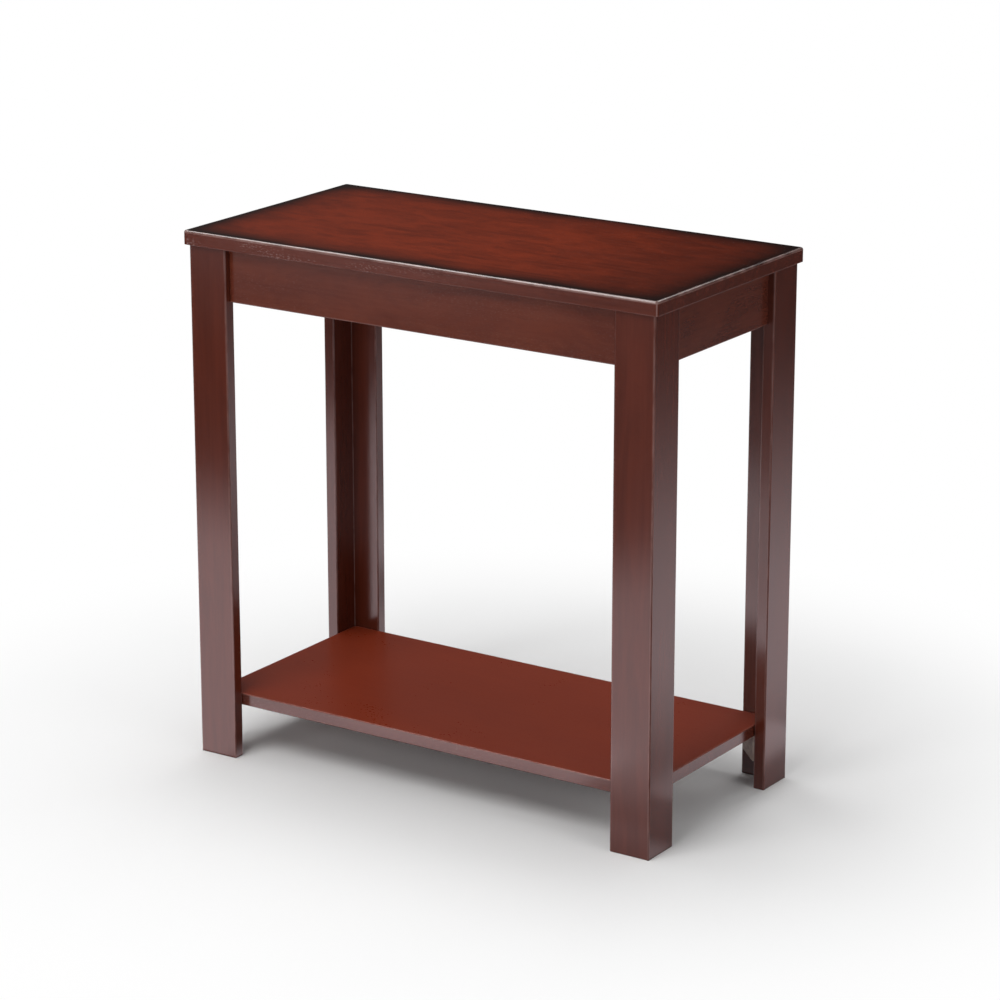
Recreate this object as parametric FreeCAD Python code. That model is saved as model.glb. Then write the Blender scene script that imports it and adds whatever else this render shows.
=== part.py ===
"""End table with a lower shelf: an eased top, recessed aprons, four L-section legs and their fixings.

Millimetres, +Z up. The origin is on the floor below the middle of the top. +X runs along the table's length,
and its front faces -Y. Corner pieces are drawn once, at the +X +Y corner, and mirrored to the other three.
"""

import FreeCAD
import Part
import math
import os

# Overall sizes
TABLE_LENGTH = 610.0
TABLE_DEPTH = 305.0
TABLE_HEIGHT = 610.0

# Tabletop
TOP_THICKNESS = 16.0
TOP_OVERHANG = 5.0
TOP_CORNER_RADIUS = 4.0
TOP_UPPER_EDGE_RADIUS = 2.5
TOP_LOWER_EDGE_RADIUS = 1.0

# Legs: two boards each, mitred into an L
LEG_BOARD_WIDTH = 49.0
LEG_BOARD_THICKNESS = 14.0
LEG_EDGE_RADIUS = 1.5
FOOT_CHAMFER = 1.2

# Aprons: the ends are rebated, and the tongue that is left reaches behind the leg boards
APRON_HEIGHT = 61.0
APRON_THICKNESS = 14.0
APRON_SETBACK = 8.0
APRON_EDGE_RADIUS = 1.0
APRON_END_GAP = 0.2

# Shelf: it stands inside the four Ls, on a corner block in each
SHELF_THICKNESS = 14.0
SHELF_TOP_HEIGHT = 75.0
SHELF_SIDE_GAP = 0.5
SHELF_CORNER_RADIUS = 2.0
SHELF_EDGE_RADIUS = 1.0

# Corner blocks: right triangles with the two sharp tips cut off
APRON_BLOCK_SIDE = 40.0
APRON_BLOCK_HEIGHT = 22.0
SHELF_BLOCK_SIDE = 32.0
SHELF_BLOCK_HEIGHT = 30.0
BLOCK_TIP = 3.0

# Leg bolts with socket heads, each with a flat and a spring washer
BOLT_RADIUS = 3.0
BOLT_HEAD_RADIUS = 5.25
BOLT_HEAD_HEIGHT = 3.3
BOLT_HEAD_ROUNDING = 2.4
BOLT_SOCKET_ACROSS_FLATS = 4.0
BOLT_SOCKET_DEPTH = 2.0
BOLT_HOLE_PLAY = 0.3
BOLT_END_PLAY = 1.0
FLAT_WASHER_RADIUS = 6.25
FLAT_WASHER_THICKNESS = 1.6
SPRING_WASHER_RADIUS = 5.4
SPRING_WASHER_THICKNESS = 1.6
SPRING_WASHER_SLIT = 0.8
WASHER_BORE_PLAY = 0.2

# Threaded inserts in the leg boards, with barbed sleeves
INSERT_RADIUS = 5.0
INSERT_BARBS = 4
INSERT_BARB_DEPTH = 0.6
INSERT_COVER = 3.0
INSERT_END_PLAY = 1.0
INSERT_PLAY = 0.05
THREAD_PLAY = 0.05

# Countersunk screws that hold the top and the shelf to their blocks
SCREW_RADIUS = 2.0
SCREW_HEAD_RADIUS = 4.0
SCREW_HEAD_HEIGHT = 2.4
SCREW_TIP_RADIUS = 0.4
SCREW_TIP_LENGTH = 4.0
SCREW_CROSS_SPAN = 4.2
SCREW_CROSS_WIDTH = 1.0
SCREW_CROSS_DEPTH = 1.4
SCREW_PLAY = 0.1
SCREW_END_PLAY = 0.5
TOP_SCREW_INSET = 13.0
TOP_SCREW_COVER = 5.0
SHELF_SCREW_INSET = 11.0
SHELF_SCREW_COVER = 4.0
SHELF_SCREW_SINK = 8.0

# Dowels that locate the top on the aprons
DOWEL_RADIUS = 3.0
DOWEL_CHAMFER = 0.8
DOWEL_PLAY = 0.05
DOWEL_END_PLAY = 0.5
DOWEL_APRON_DEPTH = 20.0
DOWEL_TOP_COVER = 6.0
DOWEL_PITCH = 170.0

# Places that follow from the sizes: distances from the middle, and heights above the floor
LEG_X = TABLE_LENGTH / 2 - TOP_OVERHANG
LEG_Y = TABLE_DEPTH / 2 - TOP_OVERHANG
LEG_TOP = TABLE_HEIGHT - TOP_THICKNESS
LEG_INNER_X = LEG_X - LEG_BOARD_THICKNESS
LEG_INNER_Y = LEG_Y - LEG_BOARD_THICKNESS
LEG_EDGE_X = LEG_X - LEG_BOARD_WIDTH
LEG_EDGE_Y = LEG_Y - LEG_BOARD_WIDTH
APRON_OUTER_X = LEG_X - APRON_SETBACK
APRON_OUTER_Y = LEG_Y - APRON_SETBACK
APRON_INNER_X = APRON_OUTER_X - APRON_THICKNESS
APRON_INNER_Y = APRON_OUTER_Y - APRON_THICKNESS
APRON_BOTTOM = LEG_TOP - APRON_HEIGHT
APRON_BLOCK_BOTTOM = LEG_TOP - APRON_BLOCK_HEIGHT
SHELF_BOTTOM = SHELF_TOP_HEIGHT - SHELF_THICKNESS
SHELF_BLOCK_BOTTOM = SHELF_BOTTOM - SHELF_BLOCK_HEIGHT

# Sizes and places of the fixings that follow from the pieces they join
BOLT_X = (LEG_EDGE_X + APRON_INNER_X) / 2
BOLT_Y = (LEG_EDGE_Y + APRON_INNER_Y) / 2
BOLT_STAGGER = (APRON_BLOCK_BOTTOM - APRON_BOTTOM) / 3
LONG_BOLT_Z = APRON_BOTTOM + BOLT_STAGGER
SHORT_BOLT_Z = APRON_BLOCK_BOTTOM - BOLT_STAGGER
TONGUE_THICKNESS = APRON_SETBACK + APRON_THICKNESS - LEG_BOARD_THICKNESS
INSERT_HOLE_DEPTH = LEG_BOARD_THICKNESS - INSERT_COVER
INSERT_LENGTH = INSERT_HOLE_DEPTH - INSERT_END_PLAY
WASHER_STACK = FLAT_WASHER_THICKNESS + SPRING_WASHER_THICKNESS
TOP_SCREW_BITE = TOP_THICKNESS - TOP_SCREW_COVER
SHELF_SCREW_BITE = SHELF_THICKNESS - SHELF_SCREW_COVER
DOWEL_TOP_DEPTH = TOP_THICKNESS - DOWEL_TOP_COVER

ORIGIN = FreeCAD.Vector(0, 0, 0)
X_AXIS = FreeCAD.Vector(1, 0, 0)
Y_AXIS = FreeCAD.Vector(0, 1, 0)
Z_AXIS = FreeCAD.Vector(0, 0, 1)
CORNERS = {"front_left": (-1, -1), "front_right": (1, -1), "rear_left": (-1, 1), "rear_right": (1, 1)}


def at(x, y, z):
    """A point."""
    return FreeCAD.Vector(x, y, z)


def box(x, y, z):
    """A box between three (low, high) pairs."""
    return Part.makeBox(x[1] - x[0], y[1] - y[0], z[1] - z[0], at(x[0], y[0], z[0]))


def prism(outline, z):
    """A flat outline of (x, y) corners, drawn up from the low to the high value of z."""
    points = [at(px, py, z[0]) for px, py in outline]
    return Part.Face(Part.makePolygon(points + points[:1])).extrude(Z_AXIS * (z[1] - z[0]))


def lathe(outline):
    """A solid turned about Z from an outline of (radius, height) corners."""
    points = [at(radius, 0, height) for radius, height in outline]
    return Part.Face(Part.makePolygon(points + points[:1])).revolve(ORIGIN, Z_AXIS, 360)


def ring(outer, bore, height):
    """A flat ring that stands on z = 0."""
    return Part.makeCylinder(outer, height).cut(Part.makeCylinder(bore, height))


def placed(shape, position, direction):
    """A copy of a shape drawn along +Z about the origin, turned to a direction and set at a position."""
    copy = shape.copy()
    copy.Placement = FreeCAD.Placement(position, FreeCAD.Rotation(Z_AXIS, direction)) * shape.Placement
    return copy


def turned(shape, degrees):
    """A copy of a shape, turned about the table's upright axis."""
    copy = shape.copy()
    copy.rotate(ORIGIN, Z_AXIS, degrees)
    return copy


def mirrored(shape, signs):
    """A piece from the +X +Y corner, carried to the corner that a pair of signs names."""
    for sign, axis in zip(signs, (X_AXIS, Y_AXIS)):
        if sign < 0:
            shape = shape.mirror(ORIGIN, axis)
    return shape


def same(a, b):
    """Whether two lengths are equal, but for rounding."""
    return math.isclose(a, b, abs_tol=1e-6)


def edges_where(shape, test):
    """A shape's edges whose every end point passes a test."""
    return [edge for edge in shape.Edges if all(test(vertex.Point) for vertex in edge.Vertexes)]


def is_upright(edge):
    """Whether an edge is straight and runs along Z."""
    first, last = edge.Vertexes[0].Point, edge.Vertexes[-1].Point
    return same(first.x, last.x) and same(first.y, last.y)


def spread(reach, pitch):
    """Even places from -reach to reach, no further apart than a pitch, with half a step at each end."""
    count = math.ceil(2 * reach / pitch)
    step = 2 * reach / count
    return [step * (index + 0.5) - reach for index in range(count)]


def in_each_corner(corner_x, corner_y, inset):
    """An (x, y) in each of the four corners, set in from the corner that a block fills."""
    return [(sx * (corner_x - inset), sy * (corner_y - inset)) for sx, sy in CORNERS.values()]


LONG_DOWEL_OFFSETS = spread(LEG_EDGE_X, DOWEL_PITCH)
SHORT_DOWEL_OFFSETS = spread(LEG_EDGE_Y, DOWEL_PITCH)
TOP_SCREW_PLACES = in_each_corner(APRON_INNER_X, APRON_INNER_Y, TOP_SCREW_INSET)
SHELF_SCREW_PLACES = in_each_corner(LEG_INNER_X, LEG_INNER_Y, SHELF_SCREW_INSET)


def dowel_places():
    """The (x, y) of every dowel, in the middle of each apron's thickness."""
    mid_x = APRON_OUTER_X - APRON_THICKNESS / 2
    mid_y = APRON_OUTER_Y - APRON_THICKNESS / 2
    along_x = [(offset, side * mid_y) for side in (-1, 1) for offset in LONG_DOWEL_OFFSETS]
    along_y = [(side * mid_x, offset) for side in (-1, 1) for offset in SHORT_DOWEL_OFFSETS]
    return along_x + along_y


def bolt_seats():
    """Each leg bolt's seat on the inner face of an apron, with the way that the bolt points.

    The two bolts of a corner are staggered in height, so that their heads pass each other.
    """
    seats = []
    for sx, sy in CORNERS.values():
        seats.append((at(sx * BOLT_X, sy * APRON_INNER_Y, LONG_BOLT_Z), Y_AXIS * sy))
        seats.append((at(sx * APRON_INNER_X, sy * BOLT_Y, SHORT_BOLT_Z), X_AXIS * sx))
    return seats


def eased_panel(reach_x, reach_y, z, corner_radius, edge_radii):
    """A flat panel with round corners, its lower and its upper edges eased by two radii."""
    panel = box((-reach_x, reach_x), (-reach_y, reach_y), z)
    panel = panel.makeFillet(corner_radius, [edge for edge in panel.Edges if is_upright(edge)])
    for level, radius in zip(z, edge_radii):
        panel = panel.makeFillet(radius, edges_where(panel, lambda p: same(p.z, level)))
    return panel


def tabletop_panel():
    """The top, with blind holes in its underside for the dowels and screws."""
    top = eased_panel(
        TABLE_LENGTH / 2,
        TABLE_DEPTH / 2,
        (LEG_TOP, TABLE_HEIGHT),
        TOP_CORNER_RADIUS,
        (TOP_LOWER_EDGE_RADIUS, TOP_UPPER_EDGE_RADIUS),
    )
    dowel_holes = [
        Part.makeCylinder(DOWEL_RADIUS + DOWEL_PLAY, DOWEL_TOP_DEPTH, at(x, y, LEG_TOP))
        for x, y in dowel_places()
    ]
    screw_holes = [
        Part.makeCylinder(SCREW_RADIUS + SCREW_PLAY, TOP_SCREW_BITE, at(x, y, LEG_TOP))
        for x, y in TOP_SCREW_PLACES
    ]
    return top.cut(dowel_holes + screw_holes)


def shelf_panel():
    """The shelf, with a blind screw hole in its underside at each corner."""
    shelf = eased_panel(
        LEG_INNER_X - SHELF_SIDE_GAP,
        LEG_INNER_Y - SHELF_SIDE_GAP,
        (SHELF_BOTTOM, SHELF_TOP_HEIGHT),
        SHELF_CORNER_RADIUS,
        (SHELF_EDGE_RADIUS, SHELF_EDGE_RADIUS),
    )
    return shelf.cut([
        Part.makeCylinder(SCREW_RADIUS + SCREW_PLAY, SHELF_SCREW_BITE, at(x, y, SHELF_BOTTOM))
        for x, y in SHELF_SCREW_PLACES
    ])


def apron(outer, body_reach, tongue_reach, bolt_offset, bolt_height, dowel_offsets):
    """An apron along X on the +Y side, its outer face at y = outer.

    The body fills the space between two legs, and the thinner tongue runs on behind their boards.
    """
    inner = outer - APRON_THICKNESS
    z = (APRON_BOTTOM, LEG_TOP)
    body = box((-body_reach, body_reach), (inner, outer), z)
    tongue = box((-tongue_reach, tongue_reach), (inner, inner + TONGUE_THICKNESS), z)
    board = body.fuse(tongue).removeSplitter()
    lower_edges = [
        edge
        for face in (inner, outer)
        for edge in edges_where(board, lambda p: same(p.z, APRON_BOTTOM) and same(p.y, face))
    ]
    board = board.makeFillet(APRON_EDGE_RADIUS, lower_edges)
    bolt_holes = [
        Part.makeCylinder(
            BOLT_RADIUS + BOLT_HOLE_PLAY,
            TONGUE_THICKNESS,
            at(side * bolt_offset, inner, bolt_height),
            Y_AXIS,
        )
        for side in (-1, 1)
    ]
    dowel_holes = [
        Part.makeCylinder(
            DOWEL_RADIUS + DOWEL_PLAY,
            DOWEL_APRON_DEPTH,
            at(offset, outer - APRON_THICKNESS / 2, LEG_TOP - DOWEL_APRON_DEPTH),
        )
        for offset in dowel_offsets
    ]
    return board.cut(bolt_holes + dowel_holes)


def aprons():
    """The four aprons by name: the long pair runs through at the corners, the short pair butts on it."""
    long_apron = apron(
        APRON_OUTER_Y,
        LEG_EDGE_X - APRON_END_GAP,
        LEG_INNER_X - APRON_END_GAP,
        BOLT_X,
        LONG_BOLT_Z,
        LONG_DOWEL_OFFSETS,
    )
    short_apron = apron(
        APRON_OUTER_X, LEG_EDGE_Y - APRON_END_GAP, APRON_INNER_Y, BOLT_Y, SHORT_BOLT_Z, SHORT_DOWEL_OFFSETS
    )
    return {
        "apron_rear": long_apron,
        "apron_front": turned(long_apron, 180),
        "apron_left": turned(short_apron, 90),
        "apron_right": turned(short_apron, -90),
    }


def leg_boards():
    """The +X +Y leg's two boards: the one that faces +Y, and the one that faces +X."""
    outline = [
        (LEG_X, LEG_Y),
        (LEG_EDGE_X, LEG_Y),
        (LEG_EDGE_X, LEG_INNER_Y),
        (LEG_INNER_X, LEG_INNER_Y),
        (LEG_INNER_X, LEG_EDGE_Y),
        (LEG_X, LEG_EDGE_Y),
    ]
    leg = prism(outline, (0, LEG_TOP))
    leg = leg.makeChamfer(FOOT_CHAMFER, edges_where(leg, lambda p: same(p.z, 0)))
    outer_uprights = [
        edge
        for edge in leg.Edges
        if is_upright(edge)
        and not (same(edge.Vertexes[0].X, LEG_INNER_X) and same(edge.Vertexes[0].Y, LEG_INNER_Y))
    ]
    leg = leg.makeFillet(LEG_EDGE_RADIUS, outer_uprights)
    margin = LEG_BOARD_WIDTH
    mitre_side = prism(
        [
            (LEG_X + margin, LEG_Y + margin),
            (LEG_EDGE_X - margin, LEG_Y + margin),
            (LEG_EDGE_X - margin, LEG_EDGE_Y - margin),
        ],
        (-margin, LEG_TOP + margin),
    )
    insert_bore = INSERT_RADIUS + INSERT_PLAY
    face_board = leg.common(mitre_side).cut(
        Part.makeCylinder(insert_bore, INSERT_HOLE_DEPTH, at(BOLT_X, LEG_INNER_Y, LONG_BOLT_Z), Y_AXIS)
    )
    side_board = leg.cut(mitre_side).cut(
        Part.makeCylinder(insert_bore, INSERT_HOLE_DEPTH, at(LEG_INNER_X, BOLT_Y, SHORT_BOLT_Z), X_AXIS)
    )
    return face_board, side_board


def legs():
    """All eight leg boards by name."""
    face_board, side_board = leg_boards()
    boards = {}
    for corner, signs in CORNERS.items():
        boards[f"leg_{corner}_face_board"] = mirrored(face_board, signs)
        boards[f"leg_{corner}_side_board"] = mirrored(side_board, signs)
    return boards


def screw_room(sink, length):
    """The space round a countersunk screw, from the mouth of its hole: a sink, a cone and a bore."""
    head = SCREW_HEAD_RADIUS + SCREW_PLAY
    shank = SCREW_RADIUS + SCREW_PLAY
    return lathe([
        (0, 0), (head, 0), (head, sink), (shank, sink + SCREW_HEAD_HEIGHT), (shank, length), (0, length)
    ])


def corner_block(corner_x, corner_y, side, z, screw_inset, sink):
    """A triangular block in the +X +Y corner, bored for one upright screw."""
    block = prism(
        [
            (corner_x, corner_y),
            (corner_x - side, corner_y),
            (corner_x - side, corner_y - BLOCK_TIP),
            (corner_x - BLOCK_TIP, corner_y - side),
            (corner_x, corner_y - side),
        ],
        z,
    )
    mouth = at(corner_x - screw_inset, corner_y - screw_inset, z[0])
    room = screw_room(sink, z[1] - z[0])
    return block.cut(placed(room, mouth, Z_AXIS))


def corner_blocks():
    """The four blocks below the top and the four below the shelf, by name."""
    apron_block = corner_block(
        APRON_INNER_X,
        APRON_INNER_Y,
        APRON_BLOCK_SIDE,
        (APRON_BLOCK_BOTTOM, LEG_TOP),
        TOP_SCREW_INSET,
        SCREW_PLAY,
    )
    shelf_block = corner_block(
        LEG_INNER_X,
        LEG_INNER_Y,
        SHELF_BLOCK_SIDE,
        (SHELF_BLOCK_BOTTOM, SHELF_BOTTOM),
        SHELF_SCREW_INSET,
        SHELF_SCREW_SINK,
    )
    blocks = {}
    for corner, signs in CORNERS.items():
        blocks[f"apron_block_{corner}"] = mirrored(apron_block, signs)
        blocks[f"shelf_block_{corner}"] = mirrored(shelf_block, signs)
    return blocks


def leg_bolt():
    """A bolt that points along +Z from its seat at z = 0, its washers and then its head below that."""
    head = Part.makeCylinder(BOLT_HEAD_RADIUS, BOLT_HEAD_HEIGHT)
    head = head.makeFillet(BOLT_HEAD_ROUNDING, edges_where(head, lambda p: same(p.z, 0)))
    socket_radius = BOLT_SOCKET_ACROSS_FLATS / math.sqrt(3)
    hexagon = [
        (socket_radius * math.cos(math.radians(turn)), socket_radius * math.sin(math.radians(turn)))
        for turn in range(0, 360, 60)
    ]
    head = head.cut(prism(hexagon, (0, BOLT_SOCKET_DEPTH)))
    reach = TONGUE_THICKNESS + INSERT_LENGTH - BOLT_END_PLAY
    shank = Part.makeCylinder(BOLT_RADIUS, WASHER_STACK + reach, at(0, 0, -WASHER_STACK))
    head.translate(at(0, 0, -WASHER_STACK - BOLT_HEAD_HEIGHT))
    return head.fuse(shank).removeSplitter()


def flat_washer():
    """A flat washer against the bolt's seat."""
    washer = ring(FLAT_WASHER_RADIUS, BOLT_RADIUS + WASHER_BORE_PLAY, FLAT_WASHER_THICKNESS)
    washer.translate(at(0, 0, -FLAT_WASHER_THICKNESS))
    return washer


def spring_washer():
    """A split spring washer between the flat washer and the bolt's head."""
    washer = ring(SPRING_WASHER_RADIUS, BOLT_RADIUS + WASHER_BORE_PLAY, SPRING_WASHER_THICKNESS)
    half_slit = SPRING_WASHER_SLIT / 2
    slit = box((0, SPRING_WASHER_RADIUS), (-half_slit, half_slit), (0, SPRING_WASHER_THICKNESS))
    washer = washer.cut(slit)
    washer.translate(at(0, 0, -WASHER_STACK))
    return washer


def threaded_insert():
    """A barbed sleeve round the bolt's end, from the leg board's inner face inwards."""
    step = INSERT_LENGTH / INSERT_BARBS
    waist = INSERT_RADIUS - INSERT_BARB_DEPTH
    outline = [(BOLT_RADIUS + THREAD_PLAY, TONGUE_THICKNESS)]
    for index in range(INSERT_BARBS):
        outline.append((INSERT_RADIUS, TONGUE_THICKNESS + index * step))
        outline.append((waist, TONGUE_THICKNESS + (index + 1) * step))
    outline.append((BOLT_RADIUS + THREAD_PLAY, TONGUE_THICKNESS + INSERT_LENGTH))
    return lathe(outline)


def wood_screw(length):
    """A countersunk screw along +Z, with the flat of its head, and a cross recess in that, at z = 0."""
    screw = lathe([
        (0, 0),
        (SCREW_HEAD_RADIUS, 0),
        (SCREW_RADIUS, SCREW_HEAD_HEIGHT),
        (SCREW_RADIUS, length - SCREW_TIP_LENGTH),
        (SCREW_TIP_RADIUS, length),
        (0, length),
    ])
    half_span = SCREW_CROSS_SPAN / 2
    half_width = SCREW_CROSS_WIDTH / 2
    depth = (0, SCREW_CROSS_DEPTH)
    return screw.cut([
        box((-half_span, half_span), (-half_width, half_width), depth),
        box((-half_width, half_width), (-half_span, half_span), depth),
    ])


def dowel():
    """A round dowel with chamfered ends, up from the bottom of its hole in an apron."""
    length = DOWEL_APRON_DEPTH + DOWEL_TOP_DEPTH - 2 * DOWEL_END_PLAY
    peg = Part.makeCylinder(DOWEL_RADIUS, length)
    ends = [edge for level in (0, length) for edge in edges_where(peg, lambda p: same(p.z, level))]
    return peg.makeChamfer(DOWEL_CHAMFER, [edge for edge in ends if edge.Closed])


def fixings():
    """The bolts, washers, inserts, screws and dowels by name, each kind as one group."""
    top_screw = wood_screw(APRON_BLOCK_HEIGHT - SCREW_PLAY + TOP_SCREW_BITE - SCREW_END_PLAY)
    shelf_screw = wood_screw(SHELF_BLOCK_HEIGHT - SHELF_SCREW_SINK + SHELF_SCREW_BITE - SCREW_END_PLAY)
    top_screw_level = APRON_BLOCK_BOTTOM + SCREW_PLAY
    shelf_screw_level = SHELF_BLOCK_BOTTOM + SHELF_SCREW_SINK
    dowel_level = LEG_TOP - DOWEL_APRON_DEPTH + DOWEL_END_PLAY
    at_bolts = {
        "leg_bolts": leg_bolt(),
        "leg_bolt_flat_washers": flat_washer(),
        "leg_bolt_spring_washers": spring_washer(),
        "leg_threaded_inserts": threaded_insert(),
    }
    upright = {
        "tabletop_screws": (top_screw, TOP_SCREW_PLACES, top_screw_level),
        "shelf_screws": (shelf_screw, SHELF_SCREW_PLACES, shelf_screw_level),
        "apron_dowels": (dowel(), dowel_places(), dowel_level),
    }
    groups = {
        name: Part.makeCompound([placed(shape, seat, direction) for seat, direction in bolt_seats()])
        for name, shape in at_bolts.items()
    }
    for name, (shape, places, level) in upright.items():
        groups[name] = Part.makeCompound([placed(shape, at(x, y, level), Z_AXIS) for x, y in places])
    return groups


def main():
    """Draw every piece and write each to its own file."""
    pieces = {"tabletop_panel": tabletop_panel(), "shelf_panel": shelf_panel()}
    pieces.update(aprons())
    pieces.update(legs())
    pieces.update(corner_blocks())
    pieces.update(fixings())
    os.makedirs("parts", exist_ok=True)
    for name, shape in pieces.items():
        shape.exportStep(f"parts/{name}.step")
        print(f"{name}: {len(shape.Solids)} solids, {shape.Volume:.1f} mm3, valid {shape.isValid()}")


main()
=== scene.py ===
"""Dress the end table: eased and stained boards, a burnished top, bare corner blocks and zinc fixings.

Lengths are in metres, in the frame of the solids: the floor is at zero height, the table's length runs along
X and its front faces -Y.
"""
import logging
import math
from dataclasses import dataclass
from enum import Enum
from functools import reduce

import bpy
import numpy as np
from mathutils import Color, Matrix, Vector


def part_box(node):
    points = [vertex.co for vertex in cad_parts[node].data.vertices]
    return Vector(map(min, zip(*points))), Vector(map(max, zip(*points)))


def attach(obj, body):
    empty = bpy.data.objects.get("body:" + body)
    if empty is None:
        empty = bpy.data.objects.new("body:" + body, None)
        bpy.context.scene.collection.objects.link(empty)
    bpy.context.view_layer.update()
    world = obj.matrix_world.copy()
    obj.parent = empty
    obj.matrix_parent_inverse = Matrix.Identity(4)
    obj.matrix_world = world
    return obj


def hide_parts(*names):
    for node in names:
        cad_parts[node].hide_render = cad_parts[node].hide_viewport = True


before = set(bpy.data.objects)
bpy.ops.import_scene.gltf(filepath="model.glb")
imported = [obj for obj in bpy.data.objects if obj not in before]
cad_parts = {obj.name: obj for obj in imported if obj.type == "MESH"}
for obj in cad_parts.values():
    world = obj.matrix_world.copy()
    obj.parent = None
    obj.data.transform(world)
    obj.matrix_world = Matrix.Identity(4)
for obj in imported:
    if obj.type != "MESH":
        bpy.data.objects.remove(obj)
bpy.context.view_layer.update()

BODY = "root"
MM = 0.001
QUARTER = np.pi / 2.0
GRAIN = "grain"
EDGE = "edge"
SCREEN_WHITE = 255.0
NOISE_MIDDLE = 0.5
WAVES = 5
WAVE_SPREAD = 1.3
SHIFT_RANGE = (1.0, 9.0)
LEG_SEEDS = 10
SIDE_BOARD_SEED = 5
FIRST_APRON_SEED = 100
APRON_SEEDS = 10
END_RINGS = 5
SHOULDER_SHARE = 0.4
TINY_RADIUS = 0.05 * MM
LAMP_POWER = 4.0

Colour = tuple[float, float, float, float]
Point = tuple[float, float, float]
Span = tuple[float, float]
Material = bpy.types.Material
Socket = bpy.types.NodeSocket
Sockets = bpy.types.bpy_prop_collection
Source = Socket | float | Point | Colour

log = logging.getLogger("end_table")


class Run(Enum):
    """The axis that a board's length and grain run along."""

    LENGTH = 0
    DEPTH = 1
    HEIGHT = 2

    def axes(self) -> tuple[int, int, int]:
        """The axes along the board and the two across it, in right-handed order."""
        return self.value, (self.value + 1) % 3, (self.value + 2) % 3


class Named(Enum):
    """Places on the table that its nodes are named for."""

    def label(self) -> str:
        """The place's name as the nodes spell it."""
        return self.name.lower()

    def order(self) -> int:
        """Where the place stands in its list."""
        return list(type(self)).index(self)


class Corner(Named):
    """The four corners of the table, with the sign of X and Y there."""

    FRONT_LEFT = (-1, -1)
    FRONT_RIGHT = (1, -1)
    REAR_LEFT = (-1, 1)
    REAR_RIGHT = (1, 1)


class Side(Named):
    """The four aprons, with the axis each runs along and the side that it faces."""

    FRONT = (Run.LENGTH, -1)
    REAR = (Run.LENGTH, 1)
    LEFT = (Run.DEPTH, -1)
    RIGHT = (Run.DEPTH, 1)


class Slot(Enum):
    """The record's material slots of the pieces that are made anew."""

    TOP = "stained_top"
    FRAME = "stained_frame"
    SHELF = "stained_shelf"


class SocketKind(Enum):
    """The kinds of socket that a shared effect takes and gives."""

    VALUE = "NodeSocketFloat"
    VECTOR = "NodeSocketVector"
    COLOUR = "NodeSocketColor"


def srgb(*screen: int) -> Colour:
    """Turn red, green and blue screen values from 0 to 255 into linear light with full alpha."""
    return (*Color([value / SCREEN_WHITE for value in screen]).from_srgb_to_scene_linear(), 1.0)


def wander(places: np.ndarray, seed: int, pace: float) -> np.ndarray:
    """Give a smooth uneven value along a line: sine waves added up, each finer, weaker and of its own phase.

    Args:
        places: distances along the line.
        seed: what sets the phases.
        pace: waves per metre of the broadest wave.

    Returns:
        A value from about -1 to 1 at each place.
    """
    orders = np.arange(1, WAVES + 1)
    phases = np.random.default_rng(seed).uniform(0.0, 2.0 * np.pi, WAVES)
    waves = np.sin(2.0 * np.pi * pace * places[..., None] * orders ** WAVE_SPREAD + phases)
    weights = 1.0 / orders
    return waves @ weights / weights.sum()


@dataclass(frozen=True)
class Skin:
    """A closed surface as a stack of rings, with each point's normal and its nearness to an eased edge."""

    points: np.ndarray
    normals: np.ndarray
    edge: np.ndarray

    def show(self, node: str, run: Run, shift: np.ndarray, material: Material, slot: Slot) -> None:
        """Join the rings with quads, close both ends, and show the mesh in place of the node's solid.

        The grain at a point is its place along the board and the two ways across it, moved by the shift.

        Args:
            node: the node that the piece stands for.
            run: the axis that the grain runs along.
            shift: what moves this board's grain, so that no two boards match.
            material: the piece's finish.
            slot: the record's slot for that finish; not used.
        """
        rings, count = self.points.shape[:2]
        index = np.arange(rings * count).reshape(rings, count)
        beside = np.roll(index, -1, axis=1)
        quads = np.stack([index[:-1], beside[:-1], beside[1:], index[1:]], axis=-1).reshape(-1, 4)
        faces = [*quads.tolist(), index[0, ::-1].tolist(), index[-1].tolist()]
        points = self.points.reshape(-1, 3)
        mesh = bpy.data.meshes.new(node)
        mesh.from_pydata(points, [], faces)
        mesh.polygons.foreach_set("use_smooth", np.ones(len(faces), dtype=bool))
        grain = points[:, run.axes()] + shift
        stored = mesh.attributes.new(GRAIN, "FLOAT_VECTOR", "POINT")
        stored.data.foreach_set("vector", grain.astype(np.float32).ravel())
        stored = mesh.attributes.new(EDGE, "FLOAT", "POINT")
        stored.data.foreach_set("value", self.edge.astype(np.float32).ravel())
        mesh.normals_split_custom_set_from_vertices(self.normals.reshape(-1, 3))
        mesh.update()
        mesh.materials.append(material)
        piece = bpy.data.objects.new(f"{node}_dressed", mesh)
        bpy.context.scene.collection.objects.link(piece)
        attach(piece, BODY)
        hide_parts(node)
        log.info("%s: %d faces in %s", piece.name, len(faces), material.name)


@dataclass(frozen=True)
class Easing:
    """How far a board's arrises are rounded, how unevenly, and the flat beside them where the paleness of
    wear and painted highlight fades.
    """

    radius: float
    unevenness: float
    pace: float
    shoulder: float
    steps: int = 6

    def radii(self, places: np.ndarray, seed: int) -> np.ndarray:
        """The radius at each place along an arris, which wanders about its nominal size."""
        return self.radius * (1.0 + self.unevenness * wander(places, seed, self.pace))


def outline_normals(corners: np.ndarray) -> tuple[np.ndarray, np.ndarray]:
    """Find the outward normals of the edges that meet at each corner of a stack of outlines.

    Args:
        corners: outlines as (ring, corner, 2), anticlockwise.

    Returns:
        The normals of the edge that arrives at each corner and of the edge that leaves it.
    """
    ahead = np.roll(corners, -1, axis=1) - corners
    ahead = ahead / np.linalg.norm(ahead, axis=-1, keepdims=True)
    leaving = np.stack([ahead[..., 1], -ahead[..., 0]], axis=-1)
    return np.roll(leaving, 1, axis=1), leaving


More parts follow.
